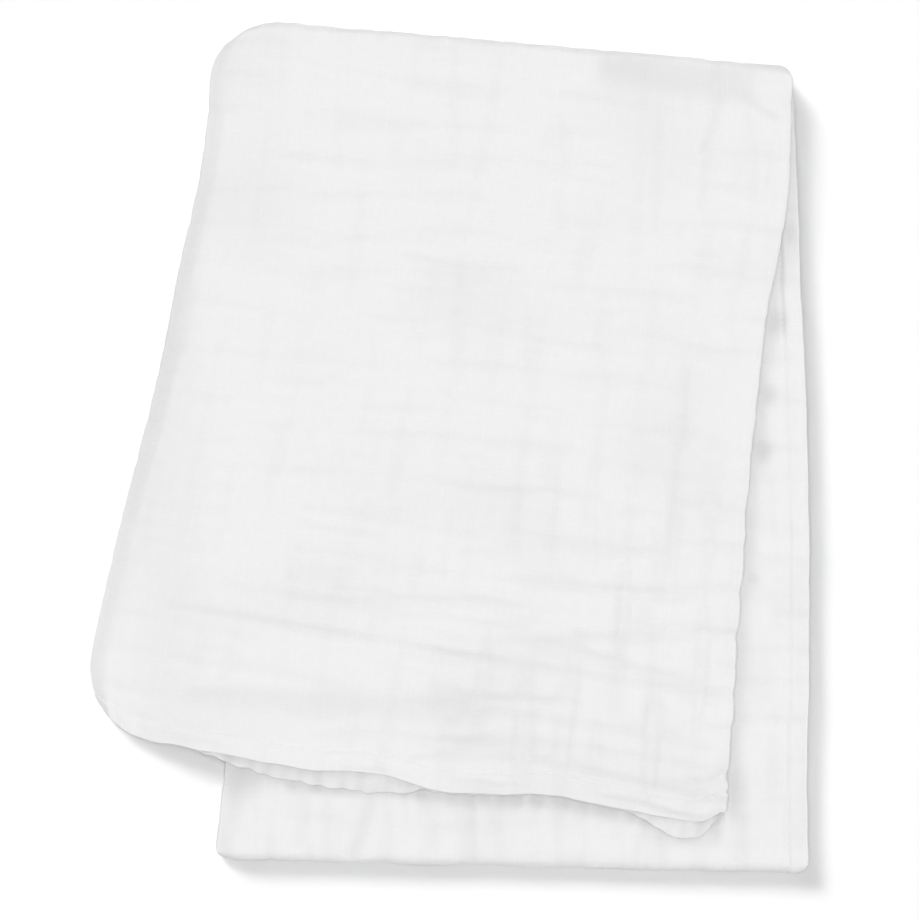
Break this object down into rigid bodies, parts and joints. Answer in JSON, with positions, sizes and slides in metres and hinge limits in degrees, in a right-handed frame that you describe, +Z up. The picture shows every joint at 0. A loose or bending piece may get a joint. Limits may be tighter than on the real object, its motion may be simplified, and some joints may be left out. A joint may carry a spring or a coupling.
{
  "type": "folded swaddle blanket",
  "caption": "Plain white double gauze swaddle blanket, folded in quarters and then in thirds, with its front third fanned out to one side.",
  "frame": {"origin": "middle of the outline, on the surface that the blanket lies on", "axes": "+Z up out of the folded cloth; +Y along the blanket's length towards its top fold; +X to the right as seen from above, towards the side hems"},
  "size_m": [0.3658, 0.4314, 0.0176],
  "materials": {
    "white_double_gauze": "soft matt crinkled cotton, with faint tack lines and turned hems"
  },
  "bodies": {
    "root": {"blanket": "white_double_gauze"}
  },
  "joints": []
}
